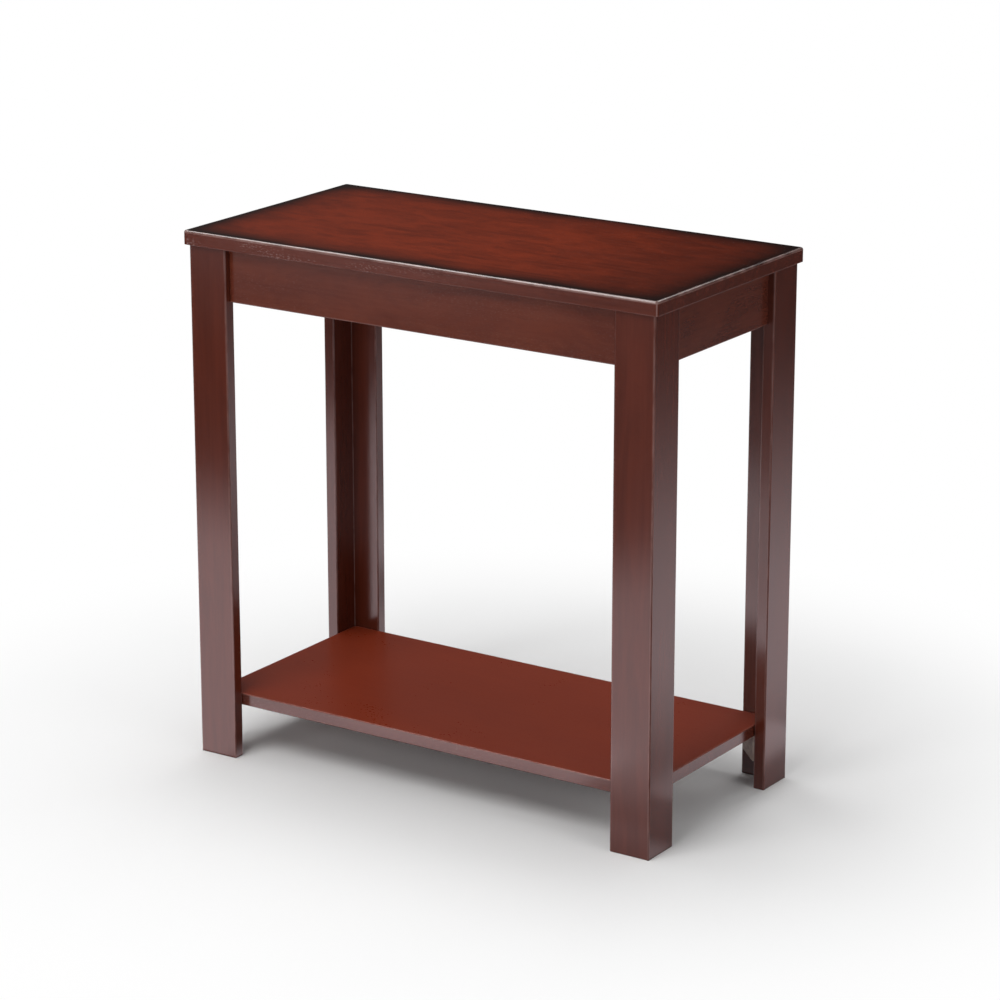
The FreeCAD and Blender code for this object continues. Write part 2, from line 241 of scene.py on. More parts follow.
def inset_outline(corners: np.ndarray, inset: np.ndarray) -> np.ndarray:
    """Draw the edges of a stack of outlines inwards.

    A corner moves by the inset times (m + n) / (1 + m . n), where m and n are the normals that meet there.

    Args:
        corners: outlines as (ring, corner, 2), anticlockwise.
        inset: how far each ring, or each of its corners, is drawn in.

    Returns:
        The corners of the smaller outlines.
    """
    arriving, leaving = outline_normals(corners)
    cosine = (arriving * leaving).sum(axis=-1)
    return corners - (inset / (1.0 + cosine))[..., None] * (arriving + leaving)


def turning(first: np.ndarray, second: np.ndarray) -> np.ndarray:
    """The sine of the turn from one flat direction to another, times both their lengths."""
    return first[..., 0] * second[..., 1] - first[..., 1] * second[..., 0]


def ease_outline(
    corners: np.ndarray, radii: np.ndarray, arris_wear_and_highlight: np.ndarray, easing: Easing
) -> tuple[np.ndarray, np.ndarray, np.ndarray]:
    """Round the corners of a stack of convex outlines.

    An arc's centre is its corner drawn in by the radius, and the arc turns evenly from the normal of the edge
    that arrives to that of the edge that leaves. One more point lies on the flat at each side of each arc.

    Args:
        corners: outlines as (ring, corner, 2), anticlockwise.
        radii: the radius at each corner of each ring.
        arris_wear_and_highlight: how pale each corner is painted, for wear and a painted highlight.
        easing: how many chords an arc has, and how far from it the points on the flats lie.

    Returns:
        The points and normals of each ring, and the paleness of wear and painted highlight of a point on an
        arc, or 0 for a point on a flat.
    """
    arriving, leaving = outline_normals(corners)
    ahead = np.stack([-leaving[..., 1], leaving[..., 0]], axis=-1)
    behind = np.roll(ahead, 1, axis=1)
    turn = np.arctan2(turning(arriving, leaving), (arriving * leaving).sum(axis=-1))
    tangent = radii * np.tan(turn / 2.0)
    span = np.linalg.norm(np.roll(corners, -1, axis=1) - corners, axis=-1)
    spare = span - tangent - np.roll(tangent, -1, axis=1)
    after = np.minimum(easing.shoulder, SHOULDER_SHARE * spare)
    before = np.roll(after, 1, axis=1)
    start = np.arctan2(arriving[..., 1], arriving[..., 0])
    angle = start[..., None] + turn[..., None] * np.linspace(0.0, 1.0, easing.steps + 1)
    facing = np.stack([np.cos(angle), np.sin(angle)], axis=-1)
    arcs = inset_outline(corners, radii)[:, :, None] + radii[..., None, None] * facing
    lead = arcs[:, :, :1] - before[..., None, None] * behind[:, :, None]
    tail = arcs[:, :, -1:] + after[..., None, None] * ahead[:, :, None]
    points = np.concatenate([lead, arcs, tail], axis=2)
    normals = np.concatenate([facing[:, :, :1], facing, facing[:, :, -1:]], axis=2)
    arc_wear_and_highlight = np.outer(arris_wear_and_highlight, np.r_[0.0, np.ones(easing.steps + 1), 0.0]).ravel()
    rings = len(corners)
    return points.reshape(rings, -1, 2), normals.reshape(rings, -1, 2), arc_wear_and_highlight


@dataclass(frozen=True)
class Stations:
    """Where a board's rings stand along it, how far each is drawn in, and how far its normals tilt."""

    place: np.ndarray
    inset: np.ndarray
    tilt: np.ndarray

    @classmethod
    def along(cls, low: float, high: float, radius: float, shoulder: float, spacing: float) -> "Stations":
        """Stand rings along a board whose two ends are eased.

        At tilt t of an eased end, a ring lies radius * (1 - sin t) from the end and is drawn in by
        radius * (1 - cos t).

        Args:
            low: where the board starts.
            high: where it stops.
            radius: the easing of its two ends.
            shoulder: how far past the easing the first plain ring lies.
            spacing: the most that plain rings lie apart.

        Returns:
            The rings from the low end to the high end.
        """
        turn = np.linspace(0.0, QUARTER, END_RINGS)
        back = radius * (1.0 - np.sin(turn))
        inset = radius * (1.0 - np.cos(turn))
        reach = radius + shoulder
        count = max(2, math.ceil((high - low - 2.0 * reach) / spacing) + 1)
        level = np.zeros(count)
        return cls(
            np.concatenate([low + back[::-1], np.linspace(low + reach, high - reach, count), high - back]),
            np.concatenate([inset[::-1], level, inset]),
            np.concatenate([-turn[::-1], level, turn]),
        )


@dataclass(frozen=True)
class Board:
    """A board's outline at each ring along it, with the radius of its corners and their paleness from wear
    and painted highlight.
    """

    node: str
    run: Run
    stations: Stations
    corners: np.ndarray
    radii: np.ndarray
    arris_wear_and_highlight: np.ndarray
    seed: int

    def skin(self, easing: Easing) -> Skin:
        """Carry the eased outline along the board, and round its ends.

        A point is the ring's place along the board with the eased outline across it, and its normal is the
        outline's times cos t plus the board's axis times sin t, where t is the ring's tilt.

        Args:
            easing: the arrises' fineness.

        Returns:
            The board's surface.
        """
        first, second, third = self.corners[0, :3]
        order = slice(None) if turning(second - first, third - second) > 0.0 else slice(None, None, -1)
        inset = self.stations.inset[:, None]
        drawn_in = inset_outline(self.corners[:, order], inset)
        tighter = np.maximum(self.radii[:, order] - inset, TINY_RADIUS)
        flat, facing, arc_wear_and_highlight = ease_outline(drawn_in, tighter, self.arris_wear_and_highlight[order], easing)
        along, *across = self.run.axes()
        tilt = self.stations.tilt[:, None]
        points = np.empty((*flat.shape[:2], 3))
        points[..., along] = self.stations.place[:, None]
        points[..., across] = flat
        normals = np.empty_like(points)
        normals[..., along] = np.sin(tilt)
        normals[..., across] = np.cos(tilt)[..., None] * facing
        return Skin(points, normals, np.maximum(np.sign(np.abs(tilt)), arc_wear_and_highlight))

    def show(self, easing: Easing, material: Material) -> None:
        """Shape the board and show it, with its grain moved by a draw of its own."""
        shift = np.random.default_rng(self.seed).uniform(*SHIFT_RANGE, 3)
        self.skin(easing).show(self.node, self.run, shift, material, Slot.FRAME)


class Bench:
    """Adds nodes to one node tree and joins their sockets."""

    def __init__(self, tree: bpy.types.NodeTree) -> None:
        """Take the tree to work on."""
        self.tree = tree

    def feed(self, target: Socket, source: Source) -> None:
        """Join a socket to the target, or set the target's own value.

        Args:
            target: the socket to feed.
            source: another node's output, or a plain value.
        """
        if isinstance(source, Socket):
            self.tree.links.new(source, target)
        else:
            target.default_value = source

    def add(self, kind: str, inputs: dict[str | int, Source] | None = None, **settings: object) -> Sockets:
        """Add a node, set it up and feed it.

        Args:
            kind: the node's type.
            inputs: what feeds its inputs, by name or number.
            settings: its properties by name.

        Returns:
            The node's outputs.
        """
        node = self.tree.nodes.new(kind)
        for name, value in settings.items():
            setattr(node, name, value)
        for name, source in (inputs or {}).items():
            self.feed(node.inputs[name], source)
        return node.outputs

    def paint(self, node: str, sources: dict[str, Source]) -> None:
        """Feed the inputs of a node that the tree already has, by name."""
        for name, source in sources.items():
            self.feed(self.tree.nodes[node].inputs[name], source)

    def place(self) -> Socket:
        """The place on the piece, in the table's frame."""
        return self.add("ShaderNodeTexCoord")["Object"]

    def apart(self, place: Socket) -> Sockets:
        """Split a place into X, Y and Z."""
        return self.add("ShaderNodeSeparateXYZ", {0: place})

    def math(self, operation: str, first: Source, second: Source = 0.0) -> Socket:
        """Work out one value from two."""
        return self.add("ShaderNodeMath", {0: first, 1: second}, operation=operation)[0]

    def product(self, *factors: Source) -> Source:
        """Multiply values together."""
        return reduce(lambda first, second: self.math("MULTIPLY", first, second), factors)

    def stretch(self, place: Socket, factors: Source) -> Socket:
        """Multiply a place by one factor for each axis."""
        return self.add("ShaderNodeVectorMath", {0: place, 1: factors}, operation="MULTIPLY")[0]

    def between(self, value: Source, low: Source, high: Source) -> Socket:
        """Rise smoothly from 0 at the low value to 1 at the high one."""
        inputs = {"Value": value, "From Min": low, "From Max": high}
        return self.add("ShaderNodeMapRange", inputs, interpolation_type="SMOOTHSTEP")["Result"]

    def blend(self, share: Source, first: Source, second: Source) -> Socket:
        """Mix two colours.

        Args:
            share: how much of the second shows.
            first: the colour below.
            second: the colour above.

        Returns:
            The mixed colour.
        """
        node = self.tree.nodes.new("ShaderNodeMix")
        node.data_type = "RGBA"
        sockets = {socket.identifier: socket for socket in [*node.inputs, *node.outputs]}
        self.feed(sockets["Factor_Float"], share)
        self.feed(sockets["A_Color"], first)
        self.feed(sockets["B_Color"], second)
        return sockets["Result_Color"]

    def bump(self, height: Socket, relief: float, **below: Socket) -> Socket:
        """Tilt the surface's normal, or the Normal given, by a height that stands up to the relief."""
        return self.add("ShaderNodeBump", {"Height": height, "Distance": relief, **below})["Normal"]


def new_material(name: str) -> tuple[Material, Bench]:
    """Make a material and a bench to wire it on.

    Args:
        name: the material's name.

    Returns:
        The material and its bench.
    """
    material = bpy.data.materials.new(name)
    material.use_nodes = True
    return material, Bench(material.node_tree)


@dataclass(frozen=True)
class Mottle:
    """Cloudy noise: its features per metre on each axis, its finer layers, and where a mask of it rises."""

    features: Point
    detail: float
    low: float = 0.0
    high: float = 1.0
    swirl: float = 0.0
    coarseness: float = 0.5

    def noise(self, bench: Bench, place: Socket) -> Socket:
        """Add the noise over a place.

        Args:
            bench: where the nodes go.
            place: the place.

        Returns:
            A value from about 0.2 to 0.8.
        """
        layers = {"Detail": self.detail, "Distortion": self.swirl, "Roughness": self.coarseness}
        stretched = bench.stretch(place, self.features)
        return bench.add("ShaderNodeTexNoise", {"Vector": stretched, "Scale": 1.0, **layers})["Fac"]

    def mask(self, bench: Bench, place: Socket) -> Socket:
        """Rise from 0 where the noise is low to 1 where it is high."""
        return bench.between(self.noise(bench, place), self.low, self.high)


class Effect:
    """A node group that several finishes share, built the first time that it is placed."""

    name: str = ""
    takes: dict[SocketKind, tuple[str, ...]] = {}
    gives: dict[SocketKind, tuple[str, ...]] = {SocketKind.VALUE: ("Mask",)}

    def place(self, bench: Bench, sources: dict[str, Source]) -> Sockets:
        """Put the effect into a material, with what feeds each input by name, and give its outputs."""
        tree = bpy.data.node_groups.get(self.name) or self.build()
        return bench.add("ShaderNodeGroup", sources, node_tree=tree)

    def build(self) -> bpy.types.NodeTree:
        """Make the group's sockets and wire its nodes.

        Returns:
            The group.
        """
        tree = bpy.data.node_groups.new(self.name, "ShaderNodeTree")
        for way, kinds in (("INPUT", self.takes), ("OUTPUT", self.gives)):
            for kind, names in kinds.items():
                for name in names:
                    tree.interface.new_socket(name=name, in_out=way, socket_type=kind.value)
        bench = Bench(tree)
        entry = bench.add("NodeGroupInput")
        leave = tree.nodes.new("NodeGroupOutput").inputs
        for name, source in self.wire(bench, entry).items():
            bench.feed(leave[name], source)
        return tree

    def wire(self, bench: Bench, entry: Sockets) -> dict[str, Socket]:
        """Add the nodes and give the socket of each output, which every effect does for itself."""
        raise NotImplementedError


class WoodGrain(Effect):
    """Cloudy mottling, long streaks and fine pores along the grain, coloured by four shades of one wood."""

    name = "wood_grain"
    takes = {
        SocketKind.VECTOR: ("Grain", "Clouds"),
        SocketKind.COLOUR: ("Deep", "Body", "Glow", "Pore"),
        SocketKind.VALUE: ("Streaks", "Pores"),
    }
    gives = {SocketKind.COLOUR: ("Colour",), SocketKind.VALUE: ("Height",)}
    clouds = Mottle((1.0, 1.0, 1.0), detail=6.0, low=0.34, high=0.66, swirl=0.6, coarseness=0.64)
    streaks = Mottle((5.0, 240.0, 240.0), detail=4.0, low=0.42, high=0.66, swirl=0.3)
    fibres = Mottle((30.0, 900.0, 900.0), detail=2.0)
    pores = Mottle((70.0, 1500.0, 1500.0), detail=1.0, low=0.6, high=0.72)

    def wire(self, bench: Bench, entry: Sockets) -> dict[str, Socket]:
        """Lay clouds under streaks under pores; pores sink and fibres stand up.

        Args:
            bench: the group's bench.
            entry: the group's inputs.

        Returns:
            The colour and the height.
        """
        grain = entry["Grain"]
        cloud = self.clouds.mask(bench, bench.stretch(grain, entry["Clouds"]))
        streak = bench.product(self.streaks.mask(bench, grain), entry["Streaks"])
        pore = bench.product(self.pores.mask(bench, grain), entry["Pores"])
        tone = bench.blend(cloud, entry["Deep"], entry["Body"])
        tone = bench.blend(streak, tone, entry["Glow"])
        tone = bench.blend(pore, tone, entry["Pore"])
        return {"Colour": tone, "Height": bench.math("SUBTRACT", self.fibres.noise(bench, grain), pore)}


class LacquerSkin(Effect):
    """The uneven sheen and faint ripple of sprayed lacquer."""

    name = "lacquer_skin"
    takes = {SocketKind.VECTOR: ("Place",), SocketKind.VALUE: ("Roughness", "Spread")}
    gives = {SocketKind.VALUE: ("Roughness", "Height")}
    smudges = Mottle((11.0, 11.0, 11.0), detail=4.0, swirl=0.8)
    ripples = Mottle((320.0, 320.0, 320.0), detail=1.0)

    def wire(self, bench: Bench, entry: Sockets) -> dict[str, Socket]:
        """Add broad smudges and a fine ripple to the roughness; the ripple is also the height.

        Args:
            bench: the group's bench.
            entry: the group's inputs.

        Returns:
            The roughness and the height.
        """
        ripple = self.ripples.noise(bench, entry["Place"])
        both = bench.math("ADD", self.smudges.noise(bench, entry["Place"]), ripple)
        uneven = bench.product(bench.math("SUBTRACT", both, 2.0 * NOISE_MIDDLE), entry["Spread"])
        return {"Roughness": bench.math("ADD", entry["Roughness"], uneven), "Height": ripple}


class EdgeWearAndHighlight(Effect):
    """Where handling has thinned the finish along the arrises, in patches, with a painted highlight along
    them as well.
    """

    name = "edge_rub"
    takes = {SocketKind.VECTOR: ("Place",), SocketKind.VALUE: ("Edge", "Amount")}
    patches = Mottle((35.0, 55.0, 55.0), detail=4.0, low=0.2, high=0.65)

    def wire(self, bench: Bench, entry: Sockets) -> dict[str, Socket]:
        """Multiply the nearness to an edge by patches of noise and by the amount."""
        patches = self.patches.mask(bench, entry["Place"])
        return {"Mask": bench.product(entry["Edge"], patches, entry["Amount"])}


class BurnishedRim(Effect):
    """A dark shaded rim round a panel, uneven as a hand-sprayed shade is."""

    name = "burnished_rim"
    takes = {
        SocketKind.VECTOR: ("Place",),
        SocketKind.VALUE: (
            "Half length", "Half depth", "End reach", "Long reach", "Wander", "Drift", "Drift reach",
        ),
    }
    swing = Mottle((9.0, 13.0, 13.0), detail=5.0, swirl=0.4)
    fall = 1.3

    def wire(self, bench: Bench, entry: Sockets) -> dict[str, Socket]:
        """Measure the distance in from each edge, swing it with noise, and let the shade die away.

        The shade left at a distance d is exp(-(d / reach) ^ fall). The right end is also darker, more
        weakly, over a broad reach.

        Args:
            bench: the group's bench.
            entry: the group's inputs.

        Returns:
            The mask, 1 at the outline and near 0 far inside.
        """
        place = bench.apart(entry["Place"])
        swing = bench.math("SUBTRACT", self.swing.noise(bench, entry["Place"]), NOISE_MIDDLE)
        swing = bench.product(swing, entry["Wander"])
        clear = []
        for axis, half, reach in (("X", "Half length", "End reach"), ("Y", "Half depth", "Long reach")):
            depth = bench.math("SUBTRACT", entry[half], bench.math("ABSOLUTE", place[axis]))
            depth = bench.math("MAXIMUM", bench.math("ADD", depth, swing), 0.0)
            fall = bench.math("POWER", bench.math("DIVIDE", depth, entry[reach]), self.fall)
            shade = bench.math("EXPONENT", bench.product(fall, -1.0))
            clear.append(bench.math("SUBTRACT", 1.0, shade))
        # Darker towards the right end, over a broad reach.
        from_right = bench.math("ADD", bench.math("SUBTRACT", entry["Half length"], place["X"]), swing)
        drift = bench.between(from_right, entry["Drift reach"], 0.0)
        clear.append(bench.math("SUBTRACT", 1.0, bench.product(drift, entry["Drift"])))
        return {"Mask": bench.math("SUBTRACT", 1.0, bench.product(*clear))}


class BelowFace(Effect):
    """The part of a panel below its upper face: its edges and its underside."""

    name = "below_face"
    takes = {SocketKind.VECTOR: ("Place",), SocketKind.VALUE: ("Face height", "Arris")}

    def wire(self, bench: Bench, entry: Sockets) -> dict[str, Socket]:
        """Rise from 0 at the face to 1 at the foot of its arris."""
        under = bench.math("SUBTRACT", entry["Face height"], bench.apart(entry["Place"])["Z"])
        return {"Mask": bench.between(under, 0.0, entry["Arris"])}


class PaleFlecks(Effect):
    """Short pale flecks along the grain, in patches, where dust of the filler lies in open pores."""

    name = "pale_flecks"
    takes = {SocketKind.VECTOR: ("Grain",), SocketKind.VALUE: ("Amount",)}
    patches = Mottle((8.0, 45.0, 45.0), detail=3.0, low=0.38, high=0.62)
    flecks = Mottle((260.0, 760.0, 760.0), detail=2.0, low=0.52, high=0.74)

    def wire(self, bench: Bench, entry: Sockets) -> dict[str, Socket]:
        """Multiply fine flecks by broad patches and by the amount."""
        masks = (mottle.mask(bench, entry["Grain"]) for mottle in (self.patches, self.flecks))
        return {"Mask": bench.product(*masks, entry["Amount"])}


@dataclass(frozen=True)
class Shades:
    """Four shades of one wood."""

    deep: Colour
    body: Colour
    glow: Colour
    pore: Colour

    @classmethod
    def screen(cls, *shades: tuple[int, int, int]) -> "Shades":
        """Take the deep, body, glow and pore shades as screen values."""
        return cls(*(srgb(*shade) for shade in shades))

    def grain(self, bench: Bench, place: Socket, clouds: Point, streaks: float, pores: float) -> Sockets:
        """Place the wood's grain in these shades.

        Args:
            bench: the material's bench.
            place: the place along and across the grain.
            clouds: clouds per metre along and across the grain.
            streaks: how strong the streaks are.
            pores: how strong the pores are.

        Returns:
            The grain's colour and height.
        """
        shades = {"Deep": self.deep, "Body": self.body, "Glow": self.glow, "Pore": self.pore}
        figure = {"Grain": place, "Clouds": clouds, "Streaks": streaks, "Pores": pores}
        return WoodGrain().place(bench, {**figure, **shades})


@dataclass(frozen=True)
class StainedWood:
    """Stained and lacquered wood with satin sheen, pale flecks, and pale arrises that are worn and carry a
    painted highlight.
    """

    name: str
    shades: Shades
    clouds: Point
    streaks: float = 0.3
    pores: float = 0.25
    flecks: float = 0.0
    wear_and_highlight_amount: float = 0.2
    roughness: float = 0.18
    spread: float = 0.08
    specular: float = 0.5
    grain_relief: float = 0.05 * MM
    skin_relief: float = 0.02 * MM
    # Pale colour on the arrises: handling wear, and a painted highlight along them.
    wear_and_highlight_colour: Colour = srgb(154, 124, 118)
    fleck: Colour = srgb(160, 136, 132)

    def fleck_amount(self, bench: Bench) -> Source:
        """How strong the flecks are, here the same all over."""
        return self.flecks

    def sheen(self, bench: Bench) -> Source:
        """The roughness before its unevenness, here the same all over."""
        return self.roughness

    def shade(self, bench: Bench, grain: Socket, colour: Socket) -> Socket:
        """Change the grain's colour where the finish differs, here with flecks alone."""
        flecks = PaleFlecks().place(bench, {"Grain": grain, "Amount": self.fleck_amount(bench)})
        return bench.blend(flecks["Mask"], colour, self.fleck)

    def material(self) -> Material:
        """Wire the finish: grain, then shading, then pale arrises of wear and painted highlight, under uneven
        satin lacquer.

        Returns:
            The material.
        """
        material, bench = new_material(self.name)
        grain = bench.add("ShaderNodeAttribute", attribute_name=GRAIN)["Vector"]
        edge = bench.add("ShaderNodeAttribute", attribute_name=EDGE)["Fac"]
        wood = self.shades.grain(bench, grain, self.clouds, self.streaks, self.pores)
        # Mask of the worn arrises, which also carries the painted highlight along them.
        wear_and_highlight_mask = EdgeWearAndHighlight().place(bench, {"Place": grain, "Edge": edge, "Amount": self.wear_and_highlight_amount})["Mask"]
        lacquer = {"Place": grain, "Roughness": self.sheen(bench), "Spread": self.spread}
        skin = LacquerSkin().place(bench, lacquer)
        fibres = bench.bump(wood["Height"], self.grain_relief)
        bench.paint("Principled BSDF", {
            "Base Color": bench.blend(wear_and_highlight_mask, self.shade(bench, grain, wood["Colour"]), self.wear_and_highlight_colour),
            "Roughness": skin["Roughness"],
            "Specular IOR Level": self.specular,
            "Normal": bench.bump(skin["Height"], self.skin_relief, Normal=fibres),
        })
        return material


@dataclass(frozen=True)
class PanelWood(StainedWood):
    """Stained wood on a panel whose edges and underside are as brown as the frame."""

    edge_shades: Shades | None = None
    edge_clouds: Point = (0.0, 0.0, 0.0)
    face_height: float = 0.0
    arris: float = 2.5 * MM
    face_roughness: float = 0.18

    def below(self, bench: Bench) -> Socket:
        """Mask the edges and the underside, with 0 on the upper face."""
        sizes = {"Face height": self.face_height, "Arris": self.arris}
        return BelowFace().place(bench, {"Place": bench.place(), **sizes})["Mask"]

    def sheen(self, bench: Bench) -> Socket:
        """The face's roughness above and the edges' below."""
        more = bench.product(self.below(bench), self.roughness - self.face_roughness)
        return bench.math("ADD", more, self.face_roughness)

    def face(self, bench: Bench, colour: Socket) -> Socket:
        """Change the colour of the upper face, which a plain panel leaves as it is."""
        return colour

    def shade(self, bench: Bench, grain: Socket, colour: Socket) -> Socket:
        """Lay the browner, flecked edges round the face."""
        brown = self.edge_shades.grain(bench, grain, self.edge_clouds, self.streaks, self.pores)["Colour"]
        return bench.blend(self.below(bench), self.face(bench, colour), super().shade(bench, grain, brown))


@dataclass(frozen=True)
class BurnishedWood(PanelWood):
    """A panel's stain whose rim is shaded nearly black, with flecks at the left of its edges."""

    half_length: float = 0.0
    half_depth: float = 0.0
    rim: Colour = srgb(22, 8, 6)
    solid: float = 3.5 * MM
    end_reach: float = 25.0 * MM
    long_reach: float = 22.0 * MM
    wander: float = 26.0 * MM
    # How much darker the right end is, and how far in from it that reaches.
    drift: float = 0.44
    drift_reach: float = 240.0 * MM
    flecked_to: float = -120.0 * MM
    clean_from: float = 100.0 * MM

    def fleck_amount(self, bench: Bench) -> Socket:
        """How strong the flecks are: full at the left and none at the right."""
        left = bench.between(bench.apart(bench.place())["X"], self.clean_from, self.flecked_to)
        return bench.product(left, self.flecks)

    def face(self, bench: Bench, colour: Socket) -> Socket:
        """Lay the dark rim over the grain.

        Args:
            bench: the material's bench.
            colour: the grain's colour.

        Returns:
            The shaded colour.
        """
        rim = BurnishedRim().place(bench, {
            "Place": bench.place(),
            "Half length": self.half_length - self.solid,
            "Half depth": self.half_depth - self.solid,
            "End reach": self.end_reach,
            "Long reach": self.long_reach,
            "Wander": self.wander,
            "Drift": self.drift,
            "Drift reach": self.drift_reach,
        })
        return bench.blend(rim["Mask"], colour, self.rim)


@dataclass(frozen=True)
class BareWood:
    """Sawn wood with no finish but a drift of stain."""

    name: str
    shades: Shades
    drift: Colour
    overspray: float = 0.3
    clouds: Point = (12.0, 40.0, 40.0)
    cover: Mottle = Mottle((45.0, 45.0, 45.0), detail=4.0, low=0.4, high=0.7)
    streaks: float = 0.6
    pores: float = 0.5
    roughness: float = 0.72
    spread: float = 0.2
    relief: float = 0.25 * MM

    def material(self) -> Material:
        """Wire the finish: pale grain under patches of overspray, rough and fibrous.

        Returns:
            The material.
        """
        material, bench = new_material(self.name)
        place = bench.place()
        wood = self.shades.grain(bench, place, self.clouds, self.streaks, self.pores)
        cover = bench.product(self.cover.mask(bench, place), self.overspray)
        rough = {"Place": place, "Roughness": self.roughness, "Spread": self.spread}
        bench.paint("Principled BSDF", {
            "Base Color": bench.blend(cover, wood["Colour"], self.drift),
            "Roughness": LacquerSkin().place(bench, rough)["Roughness"],
            "Normal": bench.bump(wood["Height"], self.relief),
        })
        return material


@dataclass(frozen=True)
class ZincPlate:
    """Bright zinc plating with dull patches and a fine ripple."""

    name: str
    bright: Colour
    dull: Colour
    patches: Mottle = Mottle((240.0, 240.0, 240.0), detail=4.0, low=0.4, high=0.65)
    metallic: float = 1.0
    roughness: float = 0.32
    spread: float = 0.3
    relief: float = 0.02 * MM

    def material(self) -> Material:
        """Wire the finish: bright metal under duller patches.

        Returns:
            The material.
        """
        material, bench = new_material(self.name)
        place = bench.place()
        plating = {"Place": place, "Roughness": self.roughness, "Spread": self.spread}
        skin = LacquerSkin().place(bench, plating)
        bench.paint("Principled BSDF", {
            "Base Color": bench.blend(self.patches.mask(bench, place), self.bright, self.dull),
            "Metallic": self.metallic,
            "Roughness": skin["Roughness"],
            "Normal": bench.bump(skin["Height"], self.relief),
        })
        return material


@dataclass(frozen=True)
class Finishes:
    """Every material of the table, made once."""

    top: Material
    leg: Material
    rail: Material
    shelf: Material
    block: Material
    dowel: Material
    steel: Material

    @classmethod
    def mixed(cls) -> "Finishes":
        """Mix the stains, the bare woods and the zinc.

        Returns:
            The materials.
        """
        dark = Shades.screen((69, 27, 16), (79, 32, 20), (88, 39, 26), (44, 19, 12))
        # The rails' shades are the legs' stain made paler and greyer, with pale patches: tone, and partly a
        # painted sheen.
        hazy_with_painted_sheen = Shades.screen((75, 31, 20), (88, 39, 25), (95, 48, 35), (53, 24, 16))
        red = Shades.screen((97, 32, 13), (119, 41, 17), (131, 48, 21), (62, 19, 9))
        # The shelf has the top's stain, set a little lighter here: a painted lift against the shade under the
        # top.
        even = Shades.screen((124, 44, 22), (127, 46, 23), (135, 53, 30), (92, 31, 16))
        sawn = Shades.screen((150, 132, 124), (176, 158, 148), (198, 182, 170), (112, 92, 82))
        beech = Shades.screen((176, 128, 88), (200, 156, 112), (214, 174, 132), (134, 88, 54))
        fine = (5.0, 45.0, 45.0)
        low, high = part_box("tabletop_panel")
        finishes = (
            BurnishedWood(
                "burnished_top_stain",
                red,
                clouds=(20.0, 42.0, 42.0),
                flecks=1.0,
                # Strong pale arrises on the top: wear, and a painted highlight line along its edges.
                wear_and_highlight_amount=0.45,
                edge_shades=dark,
                edge_clouds=fine,
                face_height=high.z,
                half_length=(high.x - low.x) / 2.0,
                half_depth=(high.y - low.y) / 2.0,
            ),
            StainedWood(
                "dark_leg_stain",
                dark,
                clouds=fine,
                streaks=0.15,
                pores=0.15,
                wear_and_highlight_amount=0.16,
                grain_relief=0.03 * MM,
            ),
            StainedWood(
                "rail_stain_with_painted_sheen",
                hazy_with_painted_sheen,
                clouds=(7.0, 20.0, 20.0),
                streaks=0.18,
                flecks=0.06,
                grain_relief=0.02 * MM,
            ),
            PanelWood(
                "shelf_stain",
                even,
                clouds=(9.0, 30.0, 30.0),
                streaks=0.2,
                pores=0.04,
                flecks=0.1,
                grain_relief=0.01 * MM,
                edge_shades=dark,
                edge_clouds=fine,
                face_height=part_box("shelf_panel")[1].z,
                arris=1.0 * MM,
                face_roughness=0.3,
            ),
            BareWood("bare_block_wood", sawn, drift=srgb(104, 62, 50)),
            BareWood("beech_dowel_wood", beech, drift=srgb(150, 100, 66), overspray=0.1),
            ZincPlate("zinc_plate", bright=srgb(205, 206, 208), dull=srgb(168, 170, 176)),
        )
        return cls(*(finish.material() for finish in finishes))


